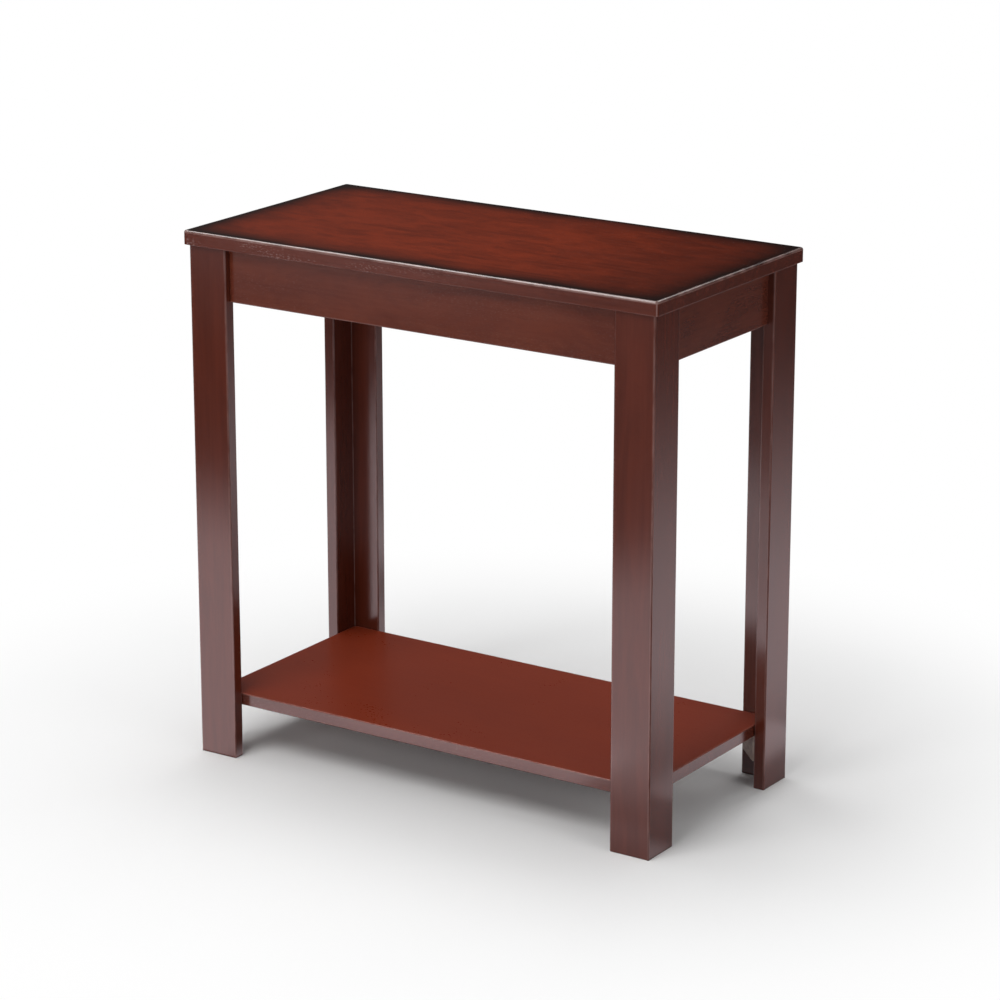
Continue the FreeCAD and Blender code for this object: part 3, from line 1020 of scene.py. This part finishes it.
@dataclass(frozen=True)
class Panel:
    """The tabletop or the shelf: one flat panel with eased arrises and round upright corners.

    The lower arrises' radius and paleness of wear and painted highlight are a share of the upper ones'. A
    line down each upright corner is pale too, wear with a painted highlight, where the outline's normal has
    more than the corner line's share of both X and Y.
    """

    node: str
    slot: Slot
    corner: float
    easing: Easing
    shift: Point
    seed: int
    under: float = 1.0
    spacing: float = 8.0 * MM
    corner_highlight_share: float = 0.6

    def outline(self, half: Vector) -> tuple[np.ndarray, np.ndarray]:
        """Trace a rectangle with round corners, anticlockwise: four quarter circles joined by divided flats.

        Args:
            half: half the panel's size on each axis.

        Returns:
            The points and their outward normals.
        """
        signs = np.array([(1, -1), (1, 1), (-1, 1), (-1, -1)])
        centres = signs * (np.array(half.xy) - self.corner)
        starts = QUARTER * np.arange(-1, 3)
        angles = starts[:, None] + np.linspace(0.0, QUARTER, self.easing.steps + 1)
        facings = np.stack([np.cos(angles), np.sin(angles)], axis=-1)
        arcs = centres[:, None] + self.corner * facings
        points, normals = [], []
        for arc, facing, following in zip(arcs, facings, np.roll(arcs, -1, axis=0)):
            gap = following[0] - arc[-1]
            count = math.ceil(np.linalg.norm(gap) / self.spacing)
            share = np.arange(1, count)[:, None] / count
            points += [arc, arc[-1] + share * gap]
            normals += [facing, np.repeat(facing[-1:], count - 1, axis=0)]
        return np.concatenate(points), np.concatenate(normals)

    def skin(self) -> Skin:
        """Carry the edge profile round the outline, and close it above and below with flat faces.

        At tilt t the profile is drawn in by radius * (1 - cos t) and lies radius * (1 - sin t) from the
        face, and its normal is the outline's times cos t plus the upright times sin t. Below and above, one
        more ring lies a shoulder's width in on the face, and one as far along the upright edge.

        Returns:
            The panel's surface.
        """
        low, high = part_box(self.node)
        middle = (high + low) / 2.0
        easing = self.easing
        outline, facing = self.outline((high - low) / 2.0)
        round_it = np.cumsum(np.linalg.norm(np.diff(outline, axis=0, prepend=outline[-1:]), axis=1))
        quarter = np.linspace(0.0, QUARTER, easing.steps + 1)
        tilt = np.r_[-quarter[-1], -quarter[::-1], 0.0, 0.0, quarter, quarter[-1]]
        rows = quarter.size + 2
        beyond = np.r_[easing.shoulder, np.zeros(2 * rows - 2), easing.shoulder]
        upright = np.zeros(2 * rows)
        upright[[rows - 1, rows]] = easing.shoulder
        below = np.tile(self.under * easing.radii(round_it, self.seed), (rows, 1))
        above = np.tile(easing.radii(round_it, self.seed + 1), (rows, 1))
        radius = np.concatenate([below, above])
        inset = radius * (1.0 - np.cos(tilt))[:, None] + beyond[:, None]
        height = radius * (1.0 - np.abs(np.sin(tilt)))[:, None] + upright[:, None]
        points = np.empty((2 * rows, len(outline), 3))
        points[..., :2] = outline + (middle.x, middle.y) - inset[..., None] * facing
        points[:rows, :, 2] = low.z + height[:rows]
        points[rows:, :, 2] = high.z - height[rows:]
        normals = np.empty_like(points)
        normals[..., :2] = np.cos(tilt)[:, None, None] * facing
        normals[..., 2] = np.sin(tilt)[:, None]
        # Pale arrises and upright corner lines: wear, and a painted highlight.
        arris_rows_wear_and_highlight = np.where(beyond + upright == 0.0, np.repeat([self.under, 1.0], rows), 0.0)
        corner_wear_and_highlight = np.outer(beyond == 0.0, np.abs(facing).min(axis=1) > self.corner_highlight_share)
        return Skin(points, normals, np.maximum(arris_rows_wear_and_highlight[:, None], corner_wear_and_highlight))

    def build(self, material: Material) -> None:
        """Shape the panel in the space of its solid and dress it."""
        self.skin().show(self.node, Run.LENGTH, np.array(self.shift), material, self.slot)


@dataclass(frozen=True)
class Leg:
    """An L of two upright boards, mitred along the table's outer corner."""

    corner: Corner
    easing: Easing
    foot: float = 1.2 * MM
    outer_share: float = 0.98
    inner_radius: float = 0.6 * MM
    # How pale the outer and inner corner arrises are painted: wear, and a painted highlight line.
    outer_wear_and_highlight: float = 1.3
    inner_wear_and_highlight: float = 3.5
    spacing: float = 24.0 * MM

    def profile(self, width: float, thickness: float) -> np.ndarray:
        """Trace one board's section from the leg's outer corner: along its face, then into its thickness.

        The mitre stops at the middle of the round outer arris, and the next corner is where the tangents at
        both ends of that half arc meet, at radius * (1 - tan 22.5 degrees).

        Args:
            width: the board's width.
            thickness: the board's thickness.

        Returns:
            The five corners as distances along the face and into the board.
        """
        middle = self.easing.radius * (1.0 - math.cos(QUARTER / 2.0))
        meeting = self.easing.radius * (1.0 - math.tan(QUARTER / 4.0))
        back = (thickness, thickness)
        return np.array([(middle, middle), (meeting, 0.0), (width, 0.0), (width, thickness), back])

    def board(self, node: str, section: np.ndarray, seed: int, material: Material) -> None:
        """Carry one board's section up the leg.

        Args:
            node: the board's node.
            section: its corners in X and Y, in the order of the profile.
            seed: what sets its unevenness and its grain.
            material: its finish.
        """
        low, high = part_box(node)
        stations = Stations.along(low.z, high.z, self.foot, self.easing.shoulder, self.spacing)
        rings = len(stations.place)
        fixed = (TINY_RADIUS, self.outer_share * self.easing.radius, self.inner_radius)
        mitre, outer, inner = (np.full(rings, radius) for radius in fixed)
        arrises = (self.easing.radii(stations.place, seed + arris) for arris in range(2))
        radii = np.stack([mitre, outer, *arrises, inner], axis=1)
        arris_wear_and_highlight = np.array([self.outer_wear_and_highlight, self.outer_wear_and_highlight, 1.0, 1.0, self.inner_wear_and_highlight])
        corners = np.tile(section, (rings, 1, 1))
        Board(node, Run.HEIGHT, stations, corners, radii, arris_wear_and_highlight, seed).show(self.easing, material)

    def build(self, material: Material) -> None:
        """Shape the board that faces front or rear and the one that faces left or right.

        Args:
            material: the frame's finish.
        """
        nodes = [f"leg_{self.corner.label()}_{board}_board" for board in ("face", "side")]
        face, side = (np.abs(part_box(node)) for node in nodes)
        outer = np.array([side[:, 0].max(), face[:, 1].max()])
        thickness = np.ptp(side[:, 0])
        sections = (
            self.profile(outer[0] - face[:, 0].min(), thickness),
            self.profile(outer[1] - side[:, 1].min(), thickness)[:, ::-1],
        )
        seed = LEG_SEEDS * self.corner.order()
        for node, section, own in zip(nodes, sections, (0, SIDE_BOARD_SEED)):
            self.board(node, np.array(self.corner.value) * (outer - section), seed + own, material)


@dataclass(frozen=True)
class Apron:
    """A rail behind two legs, whose body shows between them and whose thinner ends pass behind them."""

    side: Side
    easing: Easing
    end_gap: float = 0.2 * MM
    end_radius: float = 0.5 * MM
    spacing: float = 24.0 * MM

    def build(self, material: Material) -> None:
        """Shape the rail in the space of its solid, with a shoulder where it meets each leg.

        The rings' outer edge lies at the leg's inner face on the ends, and at the rail's own face between.

        Args:
            material: the frame's finish.
        """
        node = f"apron_{self.side.label()}"
        run, sign = self.side.value
        along = run.value
        facing = 1 - along
        low, high = np.array(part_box(node))
        board = "face" if run is Run.LENGTH else "side"
        leg = np.abs(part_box(f"leg_front_left_{board}_board")).min(axis=0)
        shoulder = leg[along] - self.end_gap
        inner, outer = sorted((abs(low[facing]), abs(high[facing])))
        ends = Stations.along(low[along], -shoulder, self.end_radius, self.end_radius, self.spacing)
        count = math.ceil(2.0 * shoulder / self.spacing) + 1
        half = len(ends.place) // 2
        place, inset, tilt = (rings[:half] for rings in (ends.place, ends.inset, ends.tilt))
        level = np.zeros(count + 2)
        body = np.r_[-shoulder, np.linspace(-shoulder, shoulder, count), shoulder]
        stations = Stations(
            np.concatenate([place, body, -place[::-1]]),
            np.concatenate([inset, level, inset[::-1]]),
            np.concatenate([tilt, level, -tilt[::-1]]),
        )
        thin = np.full(half + 1, leg[facing])
        face = np.concatenate([thin, np.full(count, outer), thin])
        back = np.full(len(face), inner)
        depths = sign * np.stack([face, back, back, face], axis=1)
        heights = np.tile([low[2], low[2], high[2], high[2]], (len(face), 1))
        across = (depths, heights) if run is Run.LENGTH else (heights, depths)
        corners = np.stack(across, axis=-1)
        seed = FIRST_APRON_SEED + APRON_SEEDS * self.side.order()
        # The same paleness of wear and painted highlight on all four arrises.
        arris_wear_and_highlight = np.ones(corners.shape[1])
        arrises = [self.easing.radii(stations.place, seed + arris) for arris in range(arris_wear_and_highlight.size)]
        radii = np.stack(arrises, axis=1)
        Board(node, run, stations, corners, radii, arris_wear_and_highlight, seed).show(self.easing, material)


@dataclass(frozen=True)
class Fittings:
    """The corner blocks, bolts, washers, inserts, screws and dowels, whose solids show as they are."""

    blocks: tuple[str, ...] = ("apron_block", "shelf_block")
    steel: tuple[str, ...] = (
        "leg_bolts",
        "leg_bolt_flat_washers",
        "leg_bolt_spring_washers",
        "leg_threaded_inserts",
        "tabletop_screws",
        "shelf_screws",
    )
    dowels: str = "apron_dowels"

    def dress(self, finishes: Finishes) -> None:
        """Give each solid that stays its finish.

        Args:
            finishes: the table's materials.
        """
        dressed = {f"{block}_{corner.label()}": finishes.block for block in self.blocks for corner in Corner}
        dressed |= {node: finishes.steel for node in self.steel}
        dressed[self.dowels] = finishes.dowel
        for node, material in dressed.items():
            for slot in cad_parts[node].material_slots:
                slot.material = material
            log.info("%s: solid in %s", node, material.name)


@dataclass(frozen=True)
class SoftLamp:
    """A soft rectangular lamp of an even brightness."""

    name: str
    place: Point
    aim: Point
    size: Span
    glow: float
    lights_up: bool = True
    mirrored: bool = True

    def add(self) -> None:
        """Hang the lamp, unseen but for what it lights up and its reflections."""
        light = bpy.data.lights.new(self.name, "AREA")
        light.shape = "RECTANGLE"
        light.size, light.size_y = self.size
        light.energy = LAMP_POWER * self.glow * self.size[0] * self.size[1]
        lamp = bpy.data.objects.new(self.name, light)
        lamp.location = self.place
        lamp.rotation_mode = "QUATERNION"
        lamp.rotation_quaternion = (Vector(self.aim) - Vector(self.place)).to_track_quat("-Z", "Y")
        lamp.visible_camera = False
        lamp.visible_diffuse = self.lights_up
        lamp.visible_glossy = self.mirrored
        bpy.context.scene.collection.objects.link(lamp)


def level_square(name: str, reach: float, height: float, material: Material) -> bpy.types.Object:
    """Lay a level square below the table as part of the stage.

    Args:
        name: the square's name.
        reach: half its side.
        height: its height.
        material: its finish.

    Returns:
        The square.
    """
    mesh = bpy.data.meshes.new(name)
    signs = ((-1, -1), (1, -1), (1, 1), (-1, 1))
    mesh.from_pydata([(reach * x, reach * y, height) for x, y in signs], [], [(0, 1, 2, 3)])
    mesh.materials.append(material)
    square = bpy.data.objects.new(name, mesh)
    bpy.context.scene.collection.objects.link(square)
    return square


@dataclass(frozen=True)
class PaintedReflectionPatch:
    """A soft-edged glowing rectangle on the sheet: a painted reflection of bright floor, which the finish
    mirrors.

    It spans X and Y, and fades in from its left, right, front and back edges.
    """

    across: Span
    deep: Span
    glow: float
    fades: tuple[float, float, float, float] = (0.1, 0.1, 0.1, 0.1)

    def strength(self, bench: Bench, place: Sockets) -> Socket:
        """Multiply the glow by a smooth rise in from each of the four edges.

        Args:
            bench: the floor's bench.
            place: the place's X and Y.

        Returns:
            The brightness.
        """
        left, right, front, back = self.fades
        rises = (
            bench.between(place["X"], self.across[0], self.across[0] + left),
            bench.between(place["X"], self.across[1], self.across[1] - right),
            bench.between(place["Y"], self.deep[0], self.deep[0] + front),
            bench.between(place["Y"], self.deep[1], self.deep[1] - back),
        )
        return bench.product(*rises, self.glow)


@dataclass(frozen=True)
class PaintedReflectionSheet:
    """A glowing sheet that only reflections see, painting the floor's reflection: bright beside the table,
    dim further off, dimmer from above.
    """

    patches: tuple[PaintedReflectionPatch, ...]
    reach: float = 6.0
    lift: float = 2.0 * MM
    tint: Colour = (1.0, 0.86, 0.9, 1.0)
    dim_glow: float = 0.08
    steep_share: float = 0.25
    steep_facing: float = 0.4
    shallow_facing: float = 0.6

    def lay(self) -> None:
        """Lay the sheet just above the floor, where reflections alone meet it."""
        sheet = level_square("painted_reflection_sheet", self.reach, self.lift, self.material())
        for ray in ("camera", "diffuse", "shadow", "transmission", "volume_scatter"):
            setattr(sheet, f"visible_{ray}", False)

    def material(self) -> Material:
        """Add the patches' glow to the sheet's dim glow, and dim the painted reflection for steep rays.

        Returns:
            The material.
        """
        material, bench = new_material("painted_reflection_glow")
        material.cycles.emission_sampling = "NONE"
        place = bench.apart(bench.place())
        total = self.dim_glow
        for patch in self.patches:
            total = bench.math("ADD", total, patch.strength(bench, place))
        # The painted reflection is dimmer for steep rays than for shallow ones.
        facing = bench.add("ShaderNodeLayerWeight")["Facing"]
        gloss = bench.between(facing, self.steep_facing, self.shallow_facing)
        gloss = bench.math("ADD", bench.product(gloss, 1.0 - self.steep_share), self.steep_share)
        glow = {"Color": self.tint, "Strength": bench.product(total, gloss)}
        bench.paint("Material Output", {"Surface": bench.add("ShaderNodeEmission", glow)[0]})
        return material


@dataclass(frozen=True)
class Studio:
    """A pale floor, a glowing sheet that paints its reflection, soft lamps, a dim room and the camera."""

    lamps: tuple[SoftLamp, ...]
    painted_reflection: PaintedReflectionSheet
    camera_place: Point = (2.12579, -3.16977, 1.45507)
    camera_yaw: float = math.radians(33.69)
    camera_pitch: float = math.radians(16.66)
    lens: float = 129.03
    sensor: float = 36.0
    floor_reach: float = 14.0
    floor_colour: Colour = (0.8, 0.8, 0.8, 1.0)
    floor_roughness: float = 0.9
    floor_specular: float = 0.0
    white_from: float = 0.25
    white_at: float = 0.85
    room_colour: Colour = (1.0, 1.0, 1.0, 1.0)
    horizon_glow: float = 0.01
    left_glow: float = 0.038
    left_span: Span = (-0.44, -0.62)
    zenith_glow: float = 0.45
    zenith_span: Span = (0.25, 0.9)

    def floor_material(self) -> Material:
        """Mix matt pale paint with plain white, by distance, for what the eye and reflections see.

        Returns:
            The material.
        """
        material, bench = new_material("pale_floor_paint")
        bench.paint("Principled BSDF", {
            "Base Color": self.floor_colour,
            "Roughness": self.floor_roughness,
            "Specular IOR Level": self.floor_specular,
        })
        paint = material.node_tree.nodes["Principled BSDF"].outputs[0]
        white = bench.add("ShaderNodeEmission")[0]
        distance = bench.add("ShaderNodeVectorMath", {0: bench.place()}, operation="LENGTH")["Value"]
        far = bench.between(distance, self.white_from, self.white_at)
        path = bench.add("ShaderNodeLightPath")
        seen = bench.math("MAXIMUM", path["Is Camera Ray"], path["Is Glossy Ray"])
        seen = bench.math("MAXIMUM", seen, path["Is Transmission Ray"])
        mixed = bench.add("ShaderNodeMixShader", {0: bench.product(far, seen), 1: paint, 2: white})
        bench.paint("Material Output", {"Surface": mixed[0]})
        return material

    def dim_room(self) -> None:
        """Light the room from above: dim at the horizon, brighter to the left and overhead."""
        world = bpy.data.worlds.new("studio_room")
        bpy.context.scene.world = world
        world.use_nodes = True
        bench = Bench(world.node_tree)
        direction = bench.apart(bench.add("ShaderNodeTexCoord")["Generated"])
        up = bench.between(direction["Z"], *self.zenith_span)
        glow = bench.product(up, self.zenith_glow - self.horizon_glow)
        left = bench.product(bench.between(direction["X"], *self.left_span), self.left_glow)
        total = bench.math("ADD", bench.math("ADD", glow, left), self.horizon_glow)
        bench.paint("Background", {"Color": self.room_colour, "Strength": total})

    def set_camera(self) -> None:
        """Stand the camera where the photograph was taken from."""
        data = bpy.data.cameras.new("studio_camera")
        data.lens = self.lens
        data.sensor_width = self.sensor
        camera = bpy.data.objects.new("studio_camera", data)
        level = math.cos(self.camera_pitch)
        east, north = -math.sin(self.camera_yaw) * level, math.cos(self.camera_yaw) * level
        ahead = Vector((east, north, -math.sin(self.camera_pitch)))
        camera.location = self.camera_place
        camera.rotation_mode = "QUATERNION"
        camera.rotation_quaternion = ahead.to_track_quat("-Z", "Y")
        bpy.context.scene.collection.objects.link(camera)
        bpy.context.scene.camera = camera

    def build(self) -> None:
        """Set the camera, lay the floor and the sheet of painted reflection, hang the lamps and dim the room.
        """
        self.set_camera()
        level_square("studio_floor", self.floor_reach, 0.0, self.floor_material())
        self.painted_reflection.lay()
        self.dim_room()
        for lamp in self.lamps:
            lamp.add()
        bpy.context.scene.view_settings.view_transform = "Standard"


def plain_studio() -> Studio:
    """Plan the lamps, and the glowing patches that paint the floor's reflection in the front and right faces.

    Returns:
        The studio.
    """
    # Painted reflections: glowing patches that the front and right faces mirror.
    patches = (
        PaintedReflectionPatch(across=(-1.15, -0.22), deep=(-1.0, 0.12), glow=2.75, fades=(0.1, 0.06, 0.15, 0.1)),
        PaintedReflectionPatch(across=(-0.28, 0.45), deep=(-1.2, -0.1), glow=2.35, fades=(0.06, 0.1, 0.2, 0.35)),
        PaintedReflectionPatch(across=(-0.28, 0.14), deep=(-0.45, -0.22), glow=1.85, fades=(0.06, 0.03, 0.1, 0.05)),
        PaintedReflectionPatch(across=(0.1, 0.4), deep=(-0.25, -0.08), glow=0.68, fades=(0.05, 0.05, 0.05, 0.05)),
        PaintedReflectionPatch(across=(-1.2, 3.0), deep=(-4.0, -1.05), glow=0.18, fades=(0.4, 0.1, 0.1, 0.3)),
        PaintedReflectionPatch(across=(-2.5, -1.25), deep=(-5.5, -2.22), glow=1.8, fades=(0.5, 0.45, 0.1, 0.08)),
        PaintedReflectionPatch(across=(-0.45, 1.25), deep=(-0.15, 1.6), glow=0.78, fades=(0.1, 0.65, 0.6, 0.9)),
        PaintedReflectionPatch(across=(0.25, 1.75), deep=(-0.15, 2.2), glow=0.6, fades=(0.25, 0.95, 0.6, 1.2)),
        PaintedReflectionPatch(across=(-0.4, -0.02), deep=(0.22, 0.75), glow=0.95),
        PaintedReflectionPatch(across=(-0.08, 0.22), deep=(0.48, 0.95), glow=1.2),
        PaintedReflectionPatch(across=(0.27, 0.41), deep=(-0.19, 0.05), glow=0.28, fades=(0.04, 0.04, 0.12, 0.06)),
        PaintedReflectionPatch(across=(0.33, 0.43), deep=(0.0, 0.31), glow=0.78, fades=(0.03, 0.03, 0.03, 0.03)),
        PaintedReflectionPatch(across=(0.8, 2.2), deep=(-1.7, -0.4), glow=2.2, fades=(0.5, 0.1, 0.1, 0.2)),
    )
    low, mid, top = ((0.0, 0.0, height) for height in (0.3, 0.35, 0.6))
    lamps = (
        SoftLamp("key_softbox", place=(-0.15, -1.7, 2.3), aim=low, size=(1.8, 1.2), glow=3.6),
        SoftLamp("front_softbox", place=(-0.3, -3.2, 1.3), aim=mid, size=(2.4, 1.2), glow=3.4),
        SoftLamp("right_softbox", place=(2.6, -0.5, 1.1), aim=mid, size=(1.4, 1.2), glow=2.45),
        SoftLamp("overhead_softbox", place=(-0.5, 0.15, 2.4), aim=top, size=(1.0, 1.0), glow=4.2),
        SoftLamp("rear_softbox", place=(-0.2, 2.6, 1.5), aim=mid, size=(2.0, 1.2), glow=2.2, mirrored=False),
        SoftLamp(
            "arris_strip",
            place=(-1.15, -0.5, 2.3),
            aim=(-0.2, -0.15, 0.6),
            size=(2.6, 0.8),
            glow=6.0,
            lights_up=False,
        ),
        SoftLamp(
            "rear_strip",
            place=(0.15, 1.9, 2.1),
            aim=(0.3, 0.0, 0.6),
            size=(1.2, 0.4),
            glow=3.6,
            lights_up=False,
        ),
    )
    return Studio(lamps, PaintedReflectionSheet(patches))


def main() -> None:
    """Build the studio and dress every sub-assembly in turn."""
    logging.basicConfig(level=logging.INFO, format="%(message)s")
    plain_studio().build()
    finishes = Finishes.mixed()
    soft = Easing(radius=2.5 * MM, unevenness=0.12, pace=3.0, shoulder=0.8 * MM)
    crisp = Easing(radius=1.0 * MM, unevenness=0.15, pace=3.0, shoulder=0.8 * MM)
    upright = Easing(radius=1.5 * MM, unevenness=0.18, pace=2.5, shoulder=1.0 * MM)
    rail = Easing(radius=1.0 * MM, unevenness=0.15, pace=2.5, shoulder=0.8 * MM)
    top = Panel(
        "tabletop_panel",
        Slot.TOP,
        corner=4.0 * MM,
        easing=soft,
        shift=(3.1, 5.7, 0.0),
        seed=40,
        under=0.25,
    )
    shelf = Panel("shelf_panel", Slot.SHELF, corner=2.0 * MM, easing=crisp, shift=(7.3, 2.9, 0.0), seed=60)
    top.build(finishes.top)
    shelf.build(finishes.shelf)
    for corner in Corner:
        Leg(corner, upright).build(finishes.leg)
    for side in Side:
        Apron(side, rail).build(finishes.rail)
    Fittings().dress(finishes)


if __name__ == "__main__":
    main()
